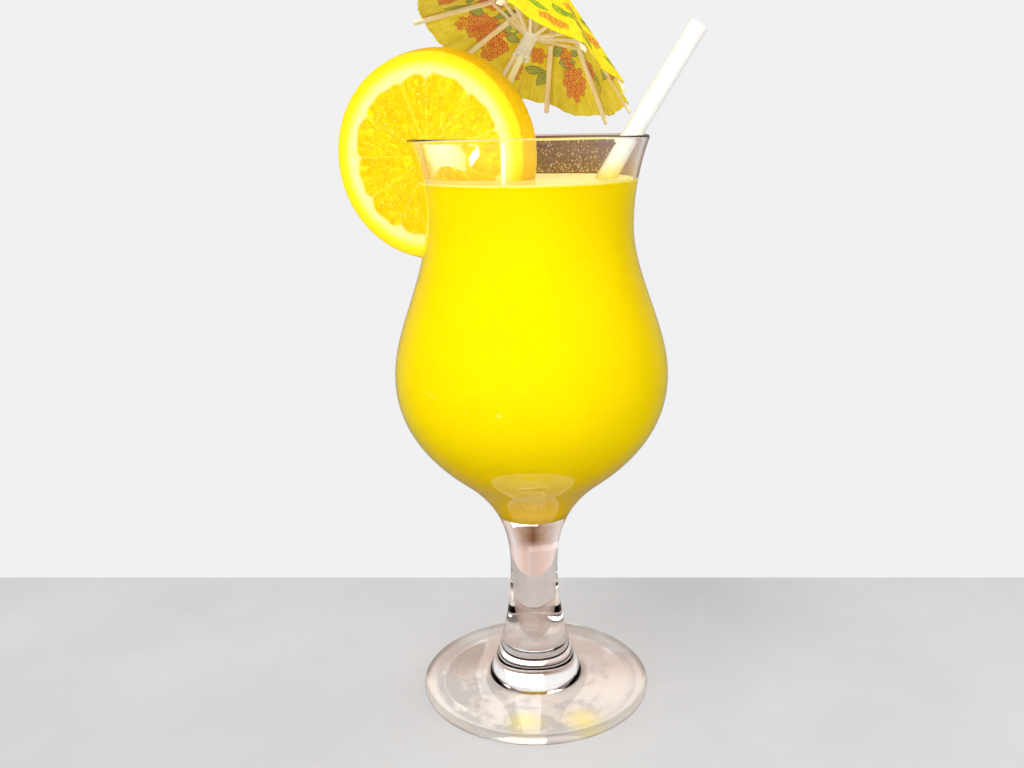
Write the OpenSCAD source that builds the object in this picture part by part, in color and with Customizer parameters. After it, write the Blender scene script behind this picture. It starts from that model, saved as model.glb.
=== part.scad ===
// A stemmed cocktail glass of orange juice with an orange slice on the rim,
// a straw and a folding paper umbrella.
// Units are millimetres. The origin is the centre of the foot's underside, +Z is up,
// +X is the straw's side and -Y is the front.

/* [Glass] */
// Height of the glass
glass_h = 181; // [170:1:190]
// Outer diameter of the rim
rim_d = 71.8; // [68:0.5:76]
// Widest diameter of the bowl
belly_d = 85; // [80:0.5:90]
// Height of the widest place
belly_h = 108.5; // [104:0.5:113]
// Diameter of the waist under the rim
waist_d = 63; // [60:0.5:66]
// Height of the waist
waist_h = 155; // [150:0.5:158]
// Slope of the wall at the rim, outward run for each unit of height
rim_slope = 0.36; // [0.2:0.02:0.5]
// Diameter of the bowl where its base turns into the round side
turn_d = 47.2; // [42:0.5:52]
// Height of that turn
turn_h = 75.5; // [73:0.5:80]
// Slope of the wall at that turn
turn_slope = 1.3; // [1:0.05:1.6]
// Height of the bowl's inner floor
floor_h = 61.8; // [58:0.2:64]
// Narrowest diameter of the stem
stem_d = 15.4; // [12:0.2:18]
// Height of the narrowest place of the stem
stem_h = 43; // [36:0.5:48]
// Diameter of the stem's flare where it meets the foot
flare_d = 29.2; // [24:0.2:34]
// Height of the lower end of the flare
flare_h = 7; // [6:0.1:9]
// Slope of the flare, outward run for each unit of height
flare_slope = 0.38; // [0.3:0.02:0.5]
// Diameter of the foot
foot_d = 75.4; // [70:0.2:85]
// Thickness of the foot's rounded edge
foot_edge = 3.7; // [3:0.1:4.4]
// Height of the foot's top beside the flare
foot_top = 5.1; // [4.6:0.1:5.8]
// Reach of the fillet between the flare and the foot's top
foot_fillet = 4.2; // [2:0.2:8]
// Depth of the hollow under the foot
foot_hollow = 1.4; // [0.6:0.1:2]
// Inner diameter of the flat ring that the foot rests on
rest_ring_d = 62; // [54:1:66]
// Thickness of the wall near the rim
wall_top = 1.5; // [1.2:0.1:2]
// Thickness of the wall near the bowl's floor
wall_base = 2.4; // [2:0.1:3]

/* [Juice] */
// Distance of the juice below the rim
juice_drop = 12.5; // [10:0.5:40]

/* [Orange slice] */
// Largest diameter of the slice
slice_d = 64.6; // [60:0.2:72]
// Thickness of the slice
slice_t = 9; // [6:0.5:12]
// Distance from the fruit's widest place to the back face
slice_off = 1.3; // [0.5:0.1:3]
// Rounding of the two peel edges
slice_edge = 0.7; // [0.3:0.1:1]
// Direction of the slice from the glass axis, seen from above
slice_turn = 160; // [150:0.5:170]
// Distance of the slice's centre inside the rim's wall
slice_in = 4.4; // [0:0.2:6]
// Distance of the slice's centre below the rim
slice_drop = 5.7; // [2:0.1:8]
// Clearance on each side of the wall in the slit
slit_gap = 0.3; // [0.2:0.05:0.6]

/* [Straw] */
// Outer diameter of the straw
straw_d = 5.8; // [5:0.1:7]
// Thickness of the straw's wall
straw_wall = 0.4; // [0.3:0.05:0.6]
// Lean of the straw from upright
straw_lean = 32; // [26:0.5:36]
// Direction in which the straw leans
straw_turn = 2; // [-8:0.5:8]
// Length of the straw past the rim
straw_out = 37; // [20:1:60]

/* [Umbrella] */
// Diameter of the paper's hem
canopy_d = 71.6; // [64:0.2:80]
// Height of the open canopy
canopy_h = 25.4; // [22:0.2:32]
// Thickness of the paper
paper_t = 0.4; // [0.3:0.05:0.6]
// Droop of the paper between two ribs, in degrees
paper_sag = 3; // [1:0.1:4]
// Number of ribs
rib_count = 11; // [8:1:12]
// Direction of the first rib
rib_start = 328.6; // [0:0.2:360]
// Unevenness of the ribs' spacing, in degrees
rib_wander = 5.5; // [0:0.5:6]
// Width of a rib
rib_w = 1.6; // [1.2:0.1:1.8]
// Width of a rib at the hub
rib_root_w = 0.9; // [0.7:0.05:1]
// Thickness of a rib
rib_t = 0.8; // [0.6:0.1:1]
// Length of a rib past the paper's hem
rib_past = 2.4; // [1:0.1:4]
// Width of a strut
strut_w = 1; // [0.8:0.05:1.1]
// Thickness of a strut
strut_t = 0.7; // [0.5:0.05:0.9]
// Place where a strut meets its rib, as a share of the canopy's radius
strut_reach = 0.45; // [0.35:0.01:0.55]
// Diameter of the stick
stick_d = 2; // [1.8:0.1:2.4]
// Length of the stick's pointed end
stick_point = 4; // [2:0.5:8]
// Length of the stick above the canopy
stick_top = 3.4; // [2.6:0.2:6]
// Length of the stick from the slice's middle up to the hem's level
stick_up = 41.4; // [36:0.2:50]
// Length of the stick from the slice's middle down to its point, if the bowl is wide enough
stick_down = 19; // [8:0.5:20]
// Lean of the umbrella from upright
umbrella_lean = 30.8; // [25:0.2:36]
// Direction in which the umbrella leans
umbrella_turn = 30.8; // [20:0.2:40]
// Where the stick goes through the slice, measured across from its centre
pierce_across = 10.3; // [8:0.1:14]
// Where the stick goes through the slice, measured down from its centre
pierce_drop = 6; // [4:0.2:10]
// Diameter of the slider
slider_d = 4.4; // [4:0.1:5]
// Length of the slider
slider_l = 8; // [6:0.5:10]
// Diameter of the hub under the canopy's tip
hub_d = 5.2; // [4.6:0.1:6]
// Length of the hub
hub_l = 3; // [2:0.5:5]
// Diameter of the cap above the canopy's tip
cap_d = 4.6; // [4:0.1:6]

/* [Hidden] */
$fn = 96;
// Points on each stretch of the glass outline
curve_steps = 7;
// Steps round half of the lip or of the foot's edge
edge_steps = 6;
// Space left between food and what it touches
food_gap = 0.05;
// Space left between the umbrella's pieces
joint_gap = 0.1;
// Space left between the wall and the lower end of the straw or the stick
end_gap = 0.2;
// Step in which their lower ends are drawn back from the wall
end_step = 0.5;
// Where the round surface of the stick's hole starts, about the stick
seam_turn = 77;

// Cubic curve from (a, slope sa) to (b, slope sb); a and b are [radius, height]
function run(a, sa, b, sb, t) =
    let (d = b[1] - a[1])
    [
        (2*t^3 - 3*t^2 + 1)*a[0] + (t^3 - 2*t^2 + t)*d*sa + (3*t^2 - 2*t^3)*b[0] + (t^3 - t^2)*d*sb,
        a[1] + t*d
    ];

// Points of such a curve, without its last one
function stretch(a, sa, b, sb) = [for (k = [0:curve_steps - 1]) run(a, sa, b, sb, k/curve_steps)];

// Curve from a to b that leaves and arrives along the lines to c
function bend(a, c, b, n) = [for (k = [0:n]) let (t = k/n) (1 - t)^2*a + 2*t*(1 - t)*c + t^2*b];

// Part of a circle from angle a0 to a1
function arc(c, r, a0, a1, n) = [for (k = [0:n]) let (a = a0 + (a1 - a0)*k/n) c + r*[cos(a), sin(a)]];

lip_r = wall_top/2 + 0.05;
lip = [rim_d/2 - lip_r, glass_h - lip_r];
flare_pt = [flare_d/2, flare_h];
stem_pt = [stem_d/2, stem_h];
turn_pt = [turn_d/2, turn_h];
belly_pt = [belly_d/2, belly_h];
waist_pt = [waist_d/2, waist_h];
rim_pt = [rim_d/2, glass_h - lip_r];

// Outer side from the flare up to the lip
outer_side = concat(
    stretch(flare_pt, -flare_slope, stem_pt, 0),
    stretch(stem_pt, 0, turn_pt, turn_slope),
    stretch(turn_pt, turn_slope, belly_pt, 0),
    stretch(belly_pt, 0, waist_pt, 0),
    stretch(waist_pt, 0, rim_pt, rim_slope)
);

// Foot: top beside the flare, rounded edge, flat ring, hollow
foot_r = foot_edge/2;
foot_mid = [foot_d/2 - foot_r, foot_r];
flare_foot = [flare_pt[0] + flare_slope*(flare_h - foot_top), foot_top];
foot_fall = (foot_top - foot_edge)/(foot_mid[0] - flare_foot[0]);
foot_lead = flare_foot + foot_fillet*[1, -foot_fall];
foot_side = concat(
    [for (k = [0:edge_steps]) [rest_ring_d/2*k/edge_steps, foot_hollow*cos(90*k/edge_steps)]],
    arc(foot_mid, foot_r, -90, 90, edge_steps*2),
    bend(foot_lead, flare_foot, flare_pt, edge_steps)
);

// The wall grows from the rim down to the bowl's floor
function wall_at(h) = wall_base + (wall_top - wall_base)*min(1, max(0, (h - turn_h)/(waist_h - turn_h)));

// Outer points of the bowl, from the level of the inner floor up
bowl_outer = [for (p = outer_side) if (p[1] > floor_h + 2) p];

// The same points moved inward by the wall and a gap
function moved(i, gap) =
    let (
        n = len(bowl_outer),
        before = bowl_outer[max(0, i - 1)],
        after = i < n - 1 ? bowl_outer[i + 1] : rim_pt,
        way = (after - before)/norm(after - before),
        here = bowl_outer[i]
    )
    here + (wall_at(here[1]) + gap)*[-way[1], way[0]];

// Inner side of the bowl from the axis up to the lip
function inner_side(gap) =
    let (
        side = [for (i = [0:len(bowl_outer) - 1]) moved(i, gap)],
        low = side[0],
        way = (side[1] - side[0])/(side[1][1] - side[0][1]),
        turn = low - way*(low[1] - floor_h - gap)
    )
    concat(bend([0, floor_h + gap], turn, low, edge_steps), [for (i = [1:len(side) - 1]) side[i]]);

inner_top = [lip[0] - lip_r - food_gap, lip[1]];
glass_outline = concat(
    foot_side,
    [for (i = [1:len(outer_side) - 1]) outer_side[i]],
    arc(lip, lip_r, 0, 180, edge_steps*2),
    [for (i = [len(inner_side(0)) - 1:-1:0]) inner_side(0)[i]]
);

// Inner radius of the bowl at a height
function bowl_r(h) = lookup(h, [for (p = concat(inner_side(0), [inner_top])) [p[1], p[0]]]);

juice_h = glass_h - juice_drop;
juice_points = inner_side(food_gap);
juice_outline = concat(
    [for (p = juice_points) if (p[1] < juice_h - 0.1) p],
    [[lookup(juice_h, [for (p = juice_points) [p[1], p[0]]]), juice_h], [0, juice_h]]
);

// Slice: across is its direction in plan, away is its back face's direction
slice_across = [-cos(slice_turn), -sin(slice_turn), 0];
slice_centre = concat(-(lip[0] - slice_in)*[slice_across[0], slice_across[1]], [glass_h - slice_drop]);
slice_r = slice_d/2;
slit_low = slice_centre[2] - slice_r - max(glass_h - waist_h, waist_h - belly_h)/curve_steps;

// Half the slice's outline: the fruit is a ball, cut by two planes
function fruit_r(h) = sqrt(slice_r^2 - h^2);
slice_front = slice_off + slice_t;
slice_outline = concat(
    [[0, slice_off], [fruit_r(slice_off) - slice_edge, slice_off]],
    [
        for (k = [0:6])
            let (h = slice_off + slice_edge + (slice_t - 2*slice_edge)*k/6) [fruit_r(h), h]
    ],
    [[fruit_r(slice_front) - slice_edge, slice_front], [0, slice_front]]
);

// How far the peel's round side stands out past the straight line between its edges
peel_bulge = fruit_r((slice_off + slice_front)/2) - (fruit_r(slice_off) + fruit_r(slice_front))/2;

// Straw: it leans on the lip and its lower end stands on the bowl's wall
straw_r = straw_d/2;
straw_axis = [sin(straw_lean), cos(straw_lean)];
straw_rest = [lip[0] - (lip_r + straw_r + food_gap)/cos(straw_lean), lip[1]];

// Lowest corner of the straw's end, at a length below the rim
function straw_corner(s) = straw_rest - s*straw_axis - (straw_r + end_gap)*[straw_axis[1], -straw_axis[0]];
straw_blocked = [
    for (s = [60:end_step:200])
        let (c = straw_corner(s)) if (c[1] < floor_h + 1 || -c[0] > bowl_r(c[1])) s
];
straw_in = straw_blocked[0] - end_step;
straw_l = straw_in + straw_out;

// Umbrella
stick_r = stick_d/2;
hem_r = canopy_d/2;
canopy_slope = atan2(canopy_h, hem_r);
canopy_l = norm([canopy_h, hem_r]);
paper_rise = paper_t/cos(canopy_slope);
narrow_panel = 360/rib_count - 1.5*rib_wander;
hole_r = stick_r + 2*joint_gap;
panel_steps = 4;
length_steps = 5;

// Slope of the paper beside a rib, which sets how far under the paper the rib's flat top lies
paper_side = sin(paper_sag)*sin(180/panel_steps)/(cos(canopy_slope)*sin(narrow_panel/panel_steps));
rib_top = canopy_h - (joint_gap + paper_side*rib_w/2)/cos(canopy_slope);
rib_start_l = (hub_d/2 + joint_gap + rib_t*sin(canopy_slope))/cos(canopy_slope);
hub_top = canopy_h - hub_d/2*tan(canopy_slope + paper_sag) - joint_gap;
pierce = slice_centre + pierce_across*slice_across - [0, 0, pierce_drop];

// The stick ends short of the bowl's wall
stick_way = [
    sin(umbrella_lean)*cos(umbrella_turn),
    sin(umbrella_lean)*sin(umbrella_turn),
    cos(umbrella_lean)
];
stick_blocked = [
    for (s = [1:end_step:60])
        let (p = pierce - s*stick_way) if (norm([p[0], p[1]]) + stick_r + end_gap > bowl_r(p[2])) s
];
stick_low = min(stick_down, stick_blocked[0] - end_step);

function rib_angle(i) = rib_start + 360*i/rib_count + rib_wander*sin(100*i + 220);

// Height of a rib's underside at a radius
function rib_under(r) = rib_top - rib_t/cos(canopy_slope) - r*tan(canopy_slope);

// Underside of the paper: q along the slope, f from rib i to the next one
function paper_point(i, f, q) =
    let (
        a0 = rib_angle(i),
        a1 = i < rib_count - 1 ? rib_angle(i + 1) : rib_angle(0) + 360,
        a = a0 + (a1 - a0)*f,
        slope = canopy_slope + paper_sag*sin(180*f)
    )
    [q*cos(slope)*cos(a), q*cos(slope)*sin(a), canopy_h - q*sin(slope)];

// Puts a child from the umbrella's own frame, whose origin is the hem's centre
module on_umbrella() {
    translate(pierce)
        rotate([0, umbrella_lean, umbrella_turn])
            translate([0, 0, stick_up])
                children();
}

// Puts a child from the straw's own frame, whose origin is beside the lip
module on_straw() {
    rotate([0, 0, straw_turn])
        translate([straw_rest[0], 0, straw_rest[1]])
            rotate([0, straw_lean, 0])
                children();
}

module glass() {
    color("aliceblue", 0.35)
        rotate_extrude()
            polygon(glass_outline);
}

// The space of the straw's wall, a little longer and thicker
module straw_wall_space() {
    on_straw()
        difference() {
            translate([0, 0, -straw_in - food_gap])
                cylinder(h = straw_l + 2*food_gap, r = straw_r + food_gap);
            translate([0, 0, -straw_in - 1])
                cylinder(h = straw_l + 2, r = straw_r - straw_wall - food_gap);
        }
}

// The space of the stick, a little thicker, with its surface's start turned to the side
module stick_space() {
    on_umbrella()
        rotate([0, 0, seam_turn])
            translate([0, 0, -stick_up - stick_low - food_gap])
                cylinder(h = stick_up + stick_low, r = stick_r + food_gap);
}

// Puts a child from the fruit's own frame, whose Z axis runs from the back face to the front
module on_slice() {
    translate(slice_centre)
        rotate([90, 0, slice_turn - 180])
            translate([0, 0, -slice_off - slice_t/2])
                children();
}

// The space that the slice takes in the juice: a cone that holds its round side
module slice_space() {
    margin = peel_bulge + food_gap;
    on_slice()
        translate([0, 0, slice_off - food_gap])
            cylinder(
                h = slice_t + 2*food_gap,
                r1 = fruit_r(slice_off) + margin,
                r2 = fruit_r(slice_front) + margin
            );
}

module juice() {
    color("gold")
        difference() {
            rotate_extrude()
                polygon(juice_outline);
            slice_space();
            straw_wall_space();
            stick_space();
        }
}

// Ring of the wall's own shape, thicker by the clearance on both sides
module slit_ring() {
    wall_in = [for (p = inner_side(slit_gap)) if (p[1] > slit_low) p];
    wall_out = [for (p = outer_side) if (p[1] > slit_low) p + [slit_gap, 0]];
    top_in = [lip[0] - lip_r - slit_gap, glass_h + slit_gap];
    top_out = [rim_d/2 + slit_gap, glass_h + slit_gap];
    rotate_extrude()
        polygon(concat(wall_in, [top_in, top_out], [for (i = [len(wall_out) - 1:-1:0]) wall_out[i]]));
}

module orange_slice() {
    color("orange")
        difference() {
            on_slice()
                rotate_extrude()
                    polygon(slice_outline);
            slit_ring();
            stick_space();
        }
}

module straw() {
    color("white")
        on_straw()
            difference() {
                translate([0, 0, -straw_in])
                    cylinder(h = straw_l, r = straw_r);
                translate([0, 0, -straw_in - 1])
                    cylinder(h = straw_l + 2, r = straw_r - straw_wall);
            }
}

module umbrella_stick() {
    low = -stick_up - stick_low;
    high = canopy_h + stick_top;
    color("burlywood")
        on_umbrella()
            rotate_extrude()
                polygon([
                    [0, low], [0.25, low], [stick_r, low + stick_point],
                    [stick_r, high - 0.6], [stick_r - 0.4, high], [0, high]
                ]);
}

// Pleated paper cone, closed all round, with a hole for the stick
module umbrella_canopy() {
    round_steps = rib_count*panel_steps;
    rows = length_steps + 1;
    hole_l = hole_r/cos(canopy_slope);
    under = [
        for (j = [0:length_steps], k = [0:round_steps - 1])
            let (q = hole_l + (canopy_l - hole_l)*j/length_steps)
            paper_point(floor(k/panel_steps), (k % panel_steps)/panel_steps, q)
    ];
    top = [for (p = under) p + [0, 0, paper_rise]];
    count = len(under);
    function at(j, k, side) = side*count + j*round_steps + k % round_steps;
    faces = concat(
        [for (j = [0:rows - 2], k = [0:round_steps - 1]) [at(j, k, 0), at(j, k + 1, 0), at(j + 1, k + 1, 0)]],
        [for (j = [0:rows - 2], k = [0:round_steps - 1]) [at(j, k, 0), at(j + 1, k + 1, 0), at(j + 1, k, 0)]],
        [for (j = [0:rows - 2], k = [0:round_steps - 1]) [at(j, k, 1), at(j + 1, k + 1, 1), at(j, k + 1, 1)]],
        [for (j = [0:rows - 2], k = [0:round_steps - 1]) [at(j, k, 1), at(j + 1, k, 1), at(j + 1, k + 1, 1)]],
        [for (k = [0:round_steps - 1]) [at(0, k, 0), at(0, k, 1), at(0, k + 1, 1)]],
        [for (k = [0:round_steps - 1]) [at(0, k, 0), at(0, k + 1, 1), at(0, k + 1, 0)]],
        [for (k = [0:round_steps - 1]) [at(rows - 1, k, 0), at(rows - 1, k + 1, 1), at(rows - 1, k, 1)]],
        [for (k = [0:round_steps - 1]) [at(rows - 1, k, 0), at(rows - 1, k + 1, 0), at(rows - 1, k + 1, 1)]]
    );
    color("yellow")
        on_umbrella()
            polyhedron(points = concat(under, top), faces = faces);
}

// Runner that the struts stand on: a tube with a collar and a notched skirt
module umbrella_slider() {
    bore = stick_r + joint_gap;
    outer = slider_d/2;
    skirt = outer + 0.35;
    notch = 0.8;
    color("ivory")
        on_umbrella()
            difference() {
                rotate_extrude()
                    polygon([
                        [bore, -0.6], [skirt, -0.6], [skirt, 0.6], [outer - 0.2, 2],
                        [outer - 0.2, slider_l - 2.4], [outer, slider_l - 1.8], [outer, slider_l - 0.6],
                        [bore, slider_l - 0.6]
                    ]);
                for (k = [0:9])
                    rotate([0, 0, 36*k])
                        translate([outer, 0, -0.6])
                            rotate([45, 0, 0])
                                translate([-0.35, -notch/2, -notch/2])
                                    cube([2, notch, notch]);
            }
}

module umbrella_hub() {
    color("ivory")
        on_umbrella()
            difference() {
                translate([0, 0, hub_top - hub_l])
                    cylinder(h = hub_l, r = hub_d/2);
                translate([0, 0, hub_top - hub_l - 1])
                    cylinder(h = hub_l + 2, r = stick_r + joint_gap);
            }
}

// Small domed cap that holds the paper down
module umbrella_cap() {
    seat = canopy_h + paper_rise + 2*joint_gap;
    bore = stick_r + joint_gap;
    color("ivory")
        on_umbrella()
            rotate_extrude()
                polygon([
                    [bore, seat - bore*tan(canopy_slope)],
                    [cap_d/2, seat - cap_d/2*tan(canopy_slope)],
                    [cap_d/2, seat - cap_d/2*tan(canopy_slope) + 0.7],
                    [cap_d/2 - 0.5, seat + 0.3],
                    [bore, seat + 0.9]
                ]);
}

// One rib: a flat splint, narrower at the hub, under the paper
module umbrella_rib(i) {
    rib_end = canopy_l + rib_past;
    widening = rib_start_l + 9;
    color("navajowhite")
        on_umbrella()
            rotate([0, 0, rib_angle(i - 1)])
                translate([0, 0, rib_top])
                    rotate([0, canopy_slope, 0])
                        translate([0, 0, -rib_t])
                            linear_extrude(height = rib_t)
                                polygon([
                                    [rib_start_l, -rib_root_w/2], [widening, -rib_w/2],
                                    [rib_end, -rib_w/2], [rib_end, rib_w/2],
                                    [widening, rib_w/2], [rib_start_l, rib_root_w/2]
                                ]);
}

// One strut: from the slider's collar to the underside of its rib
module umbrella_strut(i) {
    foot_z = slider_l - 1.2;
    reach = hem_r*strut_reach;
    rise = atan2(rib_under(reach) - strut_t/2 - foot_z, reach - slider_d/2);
    head_z = rib_under(reach) - joint_gap - strut_t/2*(cos(rise) - sin(rise)*tan(canopy_slope));
    foot_x = slider_d/2 + joint_gap + strut_t/2*sin(rise);
    lift = atan2(head_z - foot_z, reach - foot_x);
    color("navajowhite")
        on_umbrella()
            rotate([0, 0, rib_angle(i - 1)])
                translate([foot_x, 0, foot_z])
                    rotate([0, -lift, 0])
                        translate([0, -strut_w/2, -strut_t/2])
                            cube([norm([head_z - foot_z, reach - foot_x]), strut_w, strut_t]);
}

glass();
juice();
orange_slice();
straw();
umbrella_stick();
umbrella_canopy();
umbrella_slider();
umbrella_hub();
umbrella_cap();
for (i = [1:rib_count])
    umbrella_rib(i);
for (i = [1:rib_count])
    umbrella_strut(i);
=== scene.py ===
import bpy
import numpy as np
from mathutils import Matrix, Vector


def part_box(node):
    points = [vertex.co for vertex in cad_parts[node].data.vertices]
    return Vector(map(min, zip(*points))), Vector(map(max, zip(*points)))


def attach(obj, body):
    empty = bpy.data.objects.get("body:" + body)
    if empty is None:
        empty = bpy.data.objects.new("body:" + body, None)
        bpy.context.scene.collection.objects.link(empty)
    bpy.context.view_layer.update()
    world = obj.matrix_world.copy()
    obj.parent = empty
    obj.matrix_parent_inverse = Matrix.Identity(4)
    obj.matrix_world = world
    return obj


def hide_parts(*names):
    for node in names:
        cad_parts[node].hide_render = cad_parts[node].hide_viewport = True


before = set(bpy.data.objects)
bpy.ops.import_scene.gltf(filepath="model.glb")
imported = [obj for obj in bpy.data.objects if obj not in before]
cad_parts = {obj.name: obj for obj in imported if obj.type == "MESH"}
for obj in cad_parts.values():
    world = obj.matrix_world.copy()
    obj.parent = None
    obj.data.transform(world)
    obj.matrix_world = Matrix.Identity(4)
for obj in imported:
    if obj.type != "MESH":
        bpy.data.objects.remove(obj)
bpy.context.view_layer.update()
print("frame loaded:", len(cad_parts), "nodes")

mm = 0.001
scene = bpy.context.scene
scene.view_settings.view_transform = "Standard"
scene.cycles.max_bounces = 20
scene.cycles.transmission_bounces = 16
scene.cycles.transparent_max_bounces = 16


# camera

camera = {"place": (-6.1, -308.0, 186.0), "pitch": 14.7, "roll": -1.15, "lens": 35.51, "sensor": 36.0}


def makeCamera():
    # looks along +Y, tipped down by the pitch, then rolled about its own line of sight
    data = bpy.data.cameras.new("camera")
    data.lens, data.sensor_width, data.clip_start = camera["lens"], camera["sensor"], 0.01
    obj = bpy.data.objects.new("camera", data)
    scene.collection.objects.link(obj)
    p, r = np.radians([camera["pitch"], camera["roll"]])
    ahead = np.array([0, np.cos(p), -np.sin(p)])
    level, above = np.array([1.0, 0, 0]), np.array([0, np.sin(p), np.cos(p)])
    right = np.cos(r) * level + np.sin(r) * above
    up = -np.sin(r) * level + np.cos(r) * above
    turn = Matrix(np.column_stack([right, up, -ahead]).tolist()).to_4x4()
    obj.matrix_world = Matrix.Translation(np.array(camera["place"]) * mm) @ turn
    scene.camera = obj


makeCamera()
print("camera set")


# shapes: every surface is a grid of points worked out as one array, in millimetres

def gridQuads(rows, cols):
    # four corners of each cell of a grid of rows by cols points
    i, j = np.arange(rows - 1)[:, None], np.arange(cols - 1)[None, :]
    first = i * cols + j
    return np.stack([first, first + 1, first + cols + 1, first + cols], -1).reshape(-1, 4)


def meshPiece(name, points, quads, tones=None, flat=None):
    # one mesh from points and quads: points that coincide become one, and a quad that loses a corner
    # becomes a triangle; tones has a material slot for each quad, flat a UV for each point
    _, first, index = np.unique(np.round(points, 4), axis=0, return_index=True, return_inverse=True)
    index = index.reshape(-1)
    same = index[quads] == np.roll(index[quads], -1, axis=1)
    whole, three = np.nonzero(~same.any(1))[0], np.nonzero(same.sum(1) == 1)[0]
    keep = (same[three].argmax(1)[:, None] + np.array([1, 2, 3])) % 4
    corners = np.concatenate([quads[whole].ravel(), np.take_along_axis(quads[three], keep, 1).ravel()])
    sizes = np.concatenate([np.full(len(whole), 4), np.full(len(three), 3)])
    mesh = bpy.data.meshes.new(name)
    mesh.vertices.add(len(first))
    mesh.vertices.foreach_set("co", (points[first] * mm).astype(np.float32).ravel())
    mesh.loops.add(len(corners))
    mesh.loops.foreach_set("vertex_index", index[corners].astype(np.int32))
    mesh.polygons.add(len(sizes))
    mesh.polygons.foreach_set("loop_start", (np.cumsum(sizes) - sizes).astype(np.int32))
    mesh.polygons.foreach_set("use_smooth", np.ones(len(sizes), bool))
    if tones is not None:
        mesh.polygons.foreach_set("material_index", tones[np.concatenate([whole, three])].astype(np.int32))
    if flat is not None:
        layer = mesh.uv_layers.new(name="flat")
        layer.data.foreach_set("uv", flat[corners].astype(np.float32).ravel())
    mesh.update(calc_edges=True)
    mesh.validate()
    obj = bpy.data.objects.new(name, mesh)
    scene.collection.objects.link(obj)
    return obj


def makePiece(name, grid, tones=None, flat=None):
    # the same from a grid of points (rows, cols, 3), with a tone for each cell and a UV for each point
    rows, cols = grid.shape[:2]
    tones = None if tones is None else tones.reshape(-1)
    flat = None if flat is None else flat.reshape(-1, 2)
    return meshPiece(name, grid.reshape(-1, 3), gridQuads(rows, cols), tones, flat)


def revolve(profile, sides):
    # each (radius, height) of the profile carried round the upright axis: x = r cos a, y = r sin a
    a = np.linspace(0, 2 * np.pi, sides + 1)
    a[-1] = 0
    r, z = profile[:, :1], profile[:, 1:]
    return np.stack([r * np.cos(a), r * np.sin(a), z + 0 * a], -1)


def arc(cx, cz, r, a0, a1, n):
    # part of a circle about (cx, cz) from angle a0 to a1, in degrees
    a = np.radians(np.linspace(a0, a1, n))
    return np.column_stack([cx + r * np.cos(a), cz + r * np.sin(a)])


def bend(a, c, b, n):
    # quadratic curve from a to b that leaves and arrives along the lines to c
    t = np.linspace(0, 1, n)[:, None]
    return (1 - t) ** 2 * np.array(a) + 2 * t * (1 - t) * np.array(c) + t**2 * np.array(b)


def spin(y, z):
    # a turn about Y and then about Z, in degrees
    y, z = np.radians([y, z])
    tilt = np.array([[np.cos(y), 0, np.sin(y)], [0, 1, 0], [-np.sin(y), 0, np.cos(y)]])
    turn = np.array([[np.cos(z), -np.sin(z), 0], [np.sin(z), np.cos(z), 0], [0, 0, 1]])
    return turn @ tilt


def ease(low, high, x):
    # 0 below low, 1 above high, smooth between them
    t = np.clip((x - low) / (high - low), 0, 1)
    return t * t * (3 - 2 * t)


# materials: short names for nodes

def colour(r, g, b):
    # a screen colour of 0 to 255 as the linear colour that nodes take
    s = np.array([r, g, b]) / 255
    return tuple(np.where(s <= 0.04045, s / 12.92, ((s + 0.055) / 1.055) ** 2.4)) + (1.0,)


class Nodes:
    # short ways to add nodes to a material's or the world's tree

    def __init__(self, tree):
        self.tree = tree
        self.tree.nodes.clear()

    def set(self, node, inputs):
        for key, value in inputs.items():
            if isinstance(value, bpy.types.NodeSocket):
                self.tree.links.new(value, node.inputs[key])
            else:
                node.inputs[key].default_value = value

    def node(self, kind, inputs=None, **settings):
        made = self.tree.nodes.new("ShaderNode" + kind)
        for key, value in settings.items():
            setattr(made, key, value)
        self.set(made, inputs or {})
        return made

    def math(self, operation, a, b=0.0):
        return self.node("Math", {0: a, 1: b}, operation=operation).outputs[0]

    def plus(self, a, b):
        return self.math("ADD", a, b)

    def times(self, a, b):
        return self.math("MULTIPLY", a, b)

    def mix(self, factor, a, b):
        # a where the factor is 0 and b where it is 1
        return self.node("Mix", {0: factor, 6: a, 7: b}, data_type="RGBA").outputs[2]

    def ramp(self, factor, stops):
        # colours at places along a value
        made = self.node("ValToRGB", {0: factor})
        marks = made.color_ramp.elements
        while len(marks) < len(stops):
            marks.new(0.5)
        for mark, (place, value) in zip(marks, stops):
            mark.position, mark.color = place, value
        return made.outputs[0]

    def band(self, value, low, high, to=(0.0, 1.0)):
        # one value below low, another above high, smooth between them
        made = self.node("MapRange", {0: value, 1: low, 2: high, 3: to[0], 4: to[1]}, clamp=True)
        made.interpolation_type = "SMOOTHSTEP"
        return made.outputs[0]

    def split(self, vector):
        return self.node("SeparateXYZ", {0: vector}).outputs

    def join(self, x, y, z):
        return self.node("CombineXYZ", {0: x, 1: y, 2: z}).outputs[0]

    def length(self, vector):
        return self.node("VectorMath", {0: vector}, operation="LENGTH").outputs["Value"]


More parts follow.
